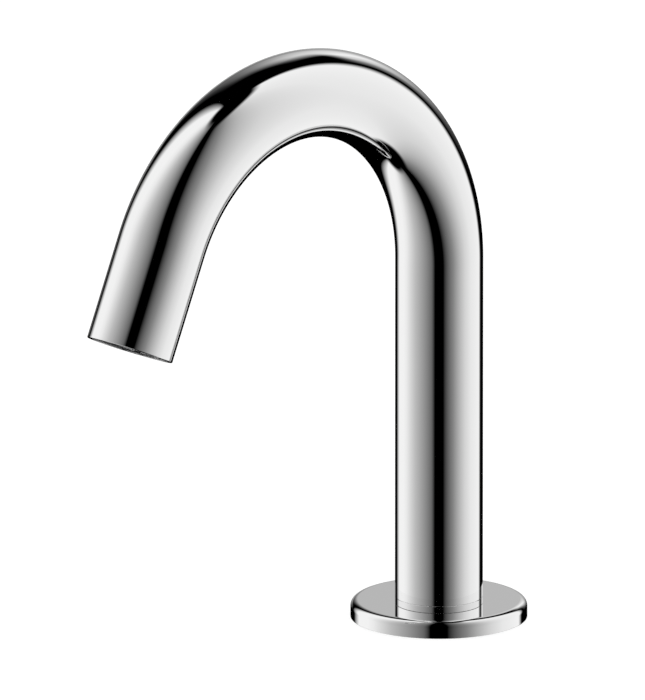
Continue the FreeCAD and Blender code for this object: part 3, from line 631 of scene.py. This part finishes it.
@dataclass
class HelicalWire:
    """Round wire or thread crest wound along an upright axis, on a plain core where it has one."""

    name: str
    slot: str
    x: float
    y: float
    low: float
    high: float
    outer_r: float
    wire_d: float
    turns: float
    core_inner_r: float = 0.0
    node: str = ""
    body: str = ROOT_BODY
    seat: Seat = Seat.VALVE
    steps: int = 40
    wire_sides: int = 8
    core_sides: int = 64

    def tree(self) -> bpy.types.NodeTree:
        """Geometry nodes that wind the wire and join it to its core.

        Returns:
            The tree, with the wire's sizes, its place and the finish as inputs.
        """
        if "helical_wire" in bpy.data.node_groups:
            return bpy.data.node_groups["helical_wire"]
        tree = bpy.data.node_groups.new("helical_wire", "GeometryNodeTree")
        face = tree.interface
        face.new_socket(name="Core", in_out="INPUT", socket_type="NodeSocketGeometry")
        for name in ("Helix Radius", "Helix Length", "Turns", "Wire Radius"):
            face.new_socket(name=name, in_out="INPUT", socket_type="NodeSocketFloat")
        for name in ("Steps", "Wire Sides"):
            face.new_socket(name=name, in_out="INPUT", socket_type="NodeSocketInt")
        face.new_socket(name="Place", in_out="INPUT", socket_type="NodeSocketVector")
        face.new_socket(name="Finish", in_out="INPUT", socket_type="NodeSocketMaterial")
        face.new_socket(name="Wire", in_out="OUTPUT", socket_type="NodeSocketGeometry")
        board = NodeBoard(tree)
        given = board.add("NodeGroupInput").outputs
        helix = board.add("GeometryNodeCurveSpiral", {
            "Resolution": given["Steps"], "Rotations": given["Turns"], "Start Radius": given["Helix Radius"],
            "End Radius": given["Helix Radius"], "Height": given["Helix Length"]}).outputs[0]
        section = board.add("GeometryNodeCurvePrimitiveCircle", {
            "Resolution": given["Wire Sides"], "Radius": given["Wire Radius"]}).outputs[0]
        swept = board.add("GeometryNodeCurveToMesh", {
            "Curve": helix, "Profile Curve": section, "Fill Caps": True}).outputs[0]
        move = {"Geometry": swept, "Translation": given["Place"]}
        placed = board.add("GeometryNodeTransform", move).outputs[0]
        whole = board.add("GeometryNodeJoinGeometry", {0: placed})
        tree.links.new(given["Core"], whole.inputs[0])
        real = board.add("GeometryNodeRealizeInstances", {0: whole.outputs[0]}).outputs[0]
        finish = {"Geometry": real, "Material": given["Finish"]}
        dressed = board.add("GeometryNodeSetMaterial", finish).outputs[0]
        board.add("NodeGroupOutput", {0: dressed})
        return tree

    def build(self) -> bpy.types.Object:
        """Winds the wire.

        Returns:
            The finished wire in its place.
        """
        wire_r = self.wire_d / 2
        if self.core_inner_r:
            outer = self.outer_r - wire_r
            core = [(self.core_inner_r, self.low), (outer, self.low), (outer, self.high),
                    (self.core_inner_r, self.high)]
            made = turned(self.name, core, self.core_sides)
            made.data.transform(Matrix.Translation((self.x, self.y, 0.0)))
        else:
            made = piece(self.name, [], [])
        winder = made.modifiers.new("winder", "NODES")
        winder.node_group = self.tree()
        wanted = {
            "Helix Radius": self.outer_r - wire_r, "Helix Length": self.high - self.low - self.wire_d,
            "Turns": self.turns, "Wire Radius": wire_r, "Steps": self.steps, "Wire Sides": self.wire_sides,
            "Place": (self.x, self.y, self.low + wire_r), "Finish": FINISHES[self.slot].material(self.seat),
        }
        set_inputs(winder, wanted)
        settled(made)
        made.data.shade_smooth()
        return made

    def dress(self, wire: bpy.types.Object) -> None:
        """Attaches the wire to its body, and hides the node where it takes one's place.

        Args:
            wire: The wound wire.
        """
        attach(wire, self.body)
        if self.node:
            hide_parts(self.node)


@dataclass
class PlungerSpring(HelicalWire):
    """Spring that the plunger presses against the fixed core as it lifts."""

    joint: str = "plunger_lift"
    lift: float = 2.0 * MM

    def dress(self, wire: bpy.types.Object) -> None:
        """Attaches the spring to its body, hides the node that it takes the place of, and gives it a mesh of
        its own.

        Args:
            wire: The wound spring.
        """
        super().dress(wire)
        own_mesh(wire)


WOUND_PIECES = (
    PlungerSpring(name="spring_wire", slot="stainless", x=0.0, y=4.9 * MM, low=30.05 * MM, high=40.45 * MM,
                  outer_r=1.8 * MM, wire_d=0.5 * MM, turns=8.0, node="plunger_spring"),
    HelicalWire(name="coil_wire", slot="coil_copper", x=0.0, y=4.9 * MM, low=28.85 * MM, high=42.55 * MM,
                outer_r=6.4 * MM, wire_d=0.25 * MM, turns=53.0, core_inner_r=4.15 * MM, node="coil_winding",
                wire_sides=6),
    HelicalWire(name="stud_thread", slot="plated_brass", x=6.842 * MM, y=3.95 * MM, low=0.4 * MM,
                high=11.6 * MM, outer_r=3.65 * MM, wire_d=0.5 * MM, turns=9.0, seat=Seat.COLUMN),
    HelicalWire(name="inlet_thread", slot="plated_brass", x=-6.166 * MM, y=3.56 * MM, low=0.4 * MM,
                high=6.6 * MM, outer_r=4.72 * MM, wire_d=0.44 * MM, turns=6.0, seat=Seat.COLUMN),
)


@dataclass
class FrameFinishes:
    """The frame's nodes, which get their finish by slot and their grain's axis by seat."""

    valve: tuple[str, ...] = (
        "valve_diaphragm", "diaphragm_plate", "valve_bonnet", "bonnet_seal", "core_tube", "pilot_plunger",
        "plunger_pad", "plunger_spring", "fixed_core", "latch_magnet", "coil_bobbin", "coil_winding",
        "solenoid_can", "coil_nut")
    outlet: tuple[str, ...] = (
        "outlet_carrier", "carrier_seal", "carrier_screw", "aerator_housing", "aerator_washer",
        "flow_regulator", "regulator_o_ring", "jet_plate", "honeycomb_insert", "sensor_window",
        "window_gasket", "sensor_housing", "sensor_board", "ir_emitter", "ir_receiver", "status_led",
        "cable_boot")
    hose: tuple[str, ...] = ("water_hose", "hose_tails", "hose_ferrules", "sensor_cable", "solenoid_lead")

    def seat(self, node: str) -> Seat:
        """Finds the seat that a node's grain runs round.

        Args:
            node: The node's name.

        Returns:
            The seat.
        """
        if node in self.valve:
            return Seat.VALVE
        if node in self.outlet:
            return Seat.OUTLET
        return Seat.HOSE if node in self.hose else Seat.COLUMN

    def dress(self) -> None:
        """Gives every node its slot's finish, also those that a finer piece takes the place of."""
        for part in frame["record"]["subparts"]:
            shown = frame["nodes"][part["node"]]
            finish = FINISHES[part["material_slot"]]
            shown.data.materials.clear()
            shown.data.materials.append(finish.material(self.seat(part["node"])))
            LOG.info("dressed %s in %s", part["node"], finish.slot)


# ---------------------------------------------------------------- studio
@dataclass(frozen=True)
class Viewpoint:
    """Long-lens view of the whole tap: bearing and elevation in degrees, and the point that it looks at."""

    bearing: float = 45.28
    elevation: float = 14.78
    across: float = -39.73 * MM
    above: float = 90.69 * MM
    distance: float = 9.96
    lens: float = 1500.0
    sensor: float = 36.0
    clip_end: float = 100.0

    def axes(self) -> tuple[Vector, Vector, Vector]:
        """Directions of the view in the frame's axes.

        Returns:
            Right, up and back.
        """
        a, e = math.radians(self.bearing), math.radians(self.elevation)
        right = Vector((math.cos(a), math.sin(a), 0.0))
        up = Vector((-math.sin(a) * math.sin(e), math.cos(a) * math.sin(e), math.cos(e)))
        return right, up, right.cross(up)

    def build(self) -> bpy.types.Object:
        """Makes the camera and sets it as the scene's.

        Returns:
            The camera.
        """
        right, up, back = self.axes()
        data = bpy.data.cameras.new("view")
        data.lens, data.sensor_width, data.clip_end = self.lens, self.sensor, self.clip_end
        camera = bpy.data.objects.new("view", data)
        bpy.context.scene.collection.objects.link(camera)
        camera.location = right * self.across + up * self.above + back * self.distance
        camera.rotation_mode = "QUATERNION"
        camera.rotation_quaternion = back.to_track_quat("Z", "Y")
        bpy.context.scene.camera = camera
        return camera


@dataclass(frozen=True)
class LightPanel:
    """Upright studio panel, graded across its width and eased at its foot and head.

    Its stops are (bearing, brightness) pairs in degrees from the view's own bearing, or from the opposite
    one where the panel stands behind the tap. Its foot and head are (dark, full) elevations in degrees.
    """

    name: str
    foot: Pair
    head: Pair
    stops: tuple[Pair, ...]
    behind: bool = False

    def level(self, board: NodeBoard, bearing: Socket, elevation: Socket) -> Socket:
        """Brightness of the panel in a direction.

        Args:
            board: The world's nodes.
            bearing: The direction's bearing from the panel's side of the tap, in degrees.
            elevation: The direction's elevation in degrees.

        Returns:
            The brightness.
        """
        limits = {"Value": bearing, "From Min": -HALF_TURN, "From Max": HALF_TURN}
        share = board.add("ShaderNodeMapRange", limits)
        ramp = board.add("ShaderNodeValToRGB", {"Fac": share.outputs[0]}, label=self.name)
        marks = ramp.color_ramp.elements
        for i, (angle, level) in enumerate(self.stops):
            mark = marks[i] if i < len(marks) else marks.new(1.0)
            mark.position = (angle + HALF_TURN) / (2 * HALF_TURN)
            mark.color = (level, level, level, 1.0)
        above = board.ease(elevation, *self.foot)
        below = board.ease(elevation, *self.head)
        return board.maths("MULTIPLY", ramp.outputs["Color"], board.maths("MULTIPLY", above, below))


@dataclass(frozen=True)
class Studio:
    """White background, plain light for matt surfaces, and the graded panels that polished metal shows."""

    view: Viewpoint = Viewpoint()
    plain_above: float = 1.0
    plain_below: float = 0.25
    plain_turn: Pair = (-25.0, 15.0)
    plating_return: float = 0.95
    panels: tuple[LightPanel, ...] = (
        LightPanel("left", (-82.0, -76.0), (83.0, 77.0), (
            (-144.5, 0.0), (-129.0, 0.885), (-107.0, 0.885), (-95.0, 0.82), (-65.0, 0.49), (-45.0, 0.33),
            (-20.0, 0.13), (-12.0, 0.0))),
        LightPanel("right", (-76.0, -70.0), (76.0, 70.0), (
            (11.0, 0.0), (20.0, 0.08), (37.0, 0.227), (57.0, 0.48), (72.0, 0.653), (92.0, 0.80),
            (128.3, 0.885), (136.8, 0.0))),
        LightPanel("back_right", (-8.0, 18.0), (34.0, 24.0), (
            (-38.0, 0.0), (-30.0, 0.25), (-25.0, 0.6), (-18.0, 0.8), (-12.0, 0.35), (-6.0, 0.0)), True),
        LightPanel("back_middle", (-8.0, 20.0), (50.0, 28.0), (
            (-20.0, 0.0), (-12.0, 0.4), (-6.0, 0.65), (0.0, 0.5), (8.0, 0.25), (13.0, 0.14),
            (20.0, 0.03), (25.0, 0.0)), True),
        LightPanel("back_low", (-13.0, -2.0), (8.0, -2.0), (
            (-24.0, 0.0), (-18.0, 0.07), (-13.0, 0.2), (-3.0, 0.36), (3.0, 0.4), (13.0, 0.36),
            (18.0, 0.25), (23.0, 0.12), (30.0, 0.0)), True),
    )
    floor_radius: float = 6.0
    floor_sides: int = 64
    floor_glow: float = 0.7
    floor_white: float = 0.4

    def directions(self, board: NodeBoard) -> tuple[Socket, Socket, Socket]:
        """Where each ray goes, in degrees.

        Args:
            board: The world's nodes.

        Returns:
            The bearing from the view's side of the tap, the bearing from the far side, and the elevation.
        """
        direction = board.add("ShaderNodeTexCoord").outputs["Generated"]
        right, _, back = self.view.axes()
        ahead = Vector((back.x, back.y, 0.0)).normalized()
        dots = [board.add("ShaderNodeVectorMath", {0: direction, 1: tuple(axis)}, operation="DOT_PRODUCT")
                for axis in (right, ahead)]
        east, north = (dot.outputs["Value"] for dot in dots)
        front = board.maths("DEGREES", board.maths("ARCTAN2", east, north))
        west, south = board.maths("MULTIPLY", east, -1.0), board.maths("MULTIPLY", north, -1.0)
        rear = board.maths("DEGREES", board.maths("ARCTAN2", west, south))
        upright = board.add("ShaderNodeSeparateXYZ", {0: direction}).outputs["Z"]
        return front, rear, board.maths("DEGREES", board.maths("ARCSINE", upright))

    def world(self) -> None:
        """Builds the world: white behind the tap, panels in its reflections, plain light for the rest."""
        world = bpy.data.worlds.new("studio")
        world.use_nodes = True
        # Importance sampling of this world gave bright specks
        world.cycles.sampling_method = "NONE"
        bpy.context.scene.world = world
        board = NodeBoard(world.node_tree)
        front, rear, elevation = self.directions(board)
        lit = 0.0
        for panel in self.panels:
            lit = board.maths("ADD", lit, panel.level(board, rear if panel.behind else front, elevation))
        paths = board.add("ShaderNodeLightPath").outputs
        # Reflections show the panels and not the white: in even white, polished metal has no form
        mirrored = board.maths("MULTIPLY", board.maths("DIVIDE", lit, self.plating_return),
                               paths["Is Glossy Ray"])
        seen = board.maths("MAXIMUM", paths["Is Camera Ray"], paths["Is Transmission Ray"])
        matt = board.maths("SUBTRACT", 1.0, board.maths("MAXIMUM", seen, paths["Is Glossy Ray"]))
        height = board.ease(elevation, *self.plain_turn)
        plain = board.maths("MULTIPLY", matt, board.spread(height, self.plain_below, self.plain_above))
        shown = board.maths("ADD", seen, board.maths("ADD", mirrored, plain))
        light = board.add("ShaderNodeBackground", {"Color": shown, "Strength": 1.0})
        board.add("ShaderNodeOutputWorld", {"Surface": light.outputs[0]})

    def floor(self) -> bpy.types.Object:
        """White floor that keeps a faint shadow and shows only from above.

        Returns:
            The floor.
        """
        count = self.floor_sides
        rim = [(self.floor_radius * math.cos(2 * math.pi * i / count),
                self.floor_radius * math.sin(2 * math.pi * i / count), 0.0) for i in range(count)]
        mesh = bpy.data.meshes.new("floor")
        mesh.from_pydata(rim, [], [tuple(range(count))])
        floor = bpy.data.objects.new("floor", mesh)
        bpy.context.scene.collection.objects.link(floor)
        paint = bpy.data.materials.new("floor_white")
        paint.use_nodes = True
        board = NodeBoard(paint.node_tree)
        paths = board.add("ShaderNodeLightPath").outputs
        above = board.maths("SUBTRACT", 1.0, board.add("ShaderNodeNewGeometry").outputs["Backfacing"])
        seen = board.maths("MULTIPLY", paths["Is Camera Ray"], above)
        white = (self.floor_white, self.floor_white, self.floor_white, 1.0)
        matt = board.add("ShaderNodeBsdfDiffuse", {"Color": white})
        glow = board.add("ShaderNodeEmission", {"Color": (1.0, 1.0, 1.0, 1.0), "Strength": self.floor_glow})
        solid = board.add("ShaderNodeAddShader", {0: matt.outputs[0], 1: glow.outputs[0]})
        clear = board.add("ShaderNodeBsdfTransparent")
        mixed = board.add("ShaderNodeMixShader", {0: seen, 1: clear.outputs[0], 2: solid.outputs[0]})
        board.add("ShaderNodeOutputMaterial", {"Surface": mixed.outputs[0]})
        mesh.materials.append(paint)
        return floor

    def build(self) -> None:
        """Builds the world, the floor and the camera, and sets the plain view transform."""
        self.world()
        self.floor()
        self.view.build()
        bpy.context.scene.view_settings.view_transform = "Standard"


def main() -> None:
    """Builds the tap's pieces in order, then the studio."""
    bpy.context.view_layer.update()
    FrameFinishes().dress()
    for maker in (SpoutTube(), Flange(), DeckGasket(), *WOUND_PIECES):
        made = maker.build()
        maker.dress(made)
        LOG.info("built %s: %d faces", made.name, len(made.data.polygons))
    Studio().build()


if __name__ == "__main__":
    logging.basicConfig(level=logging.INFO)
    main()
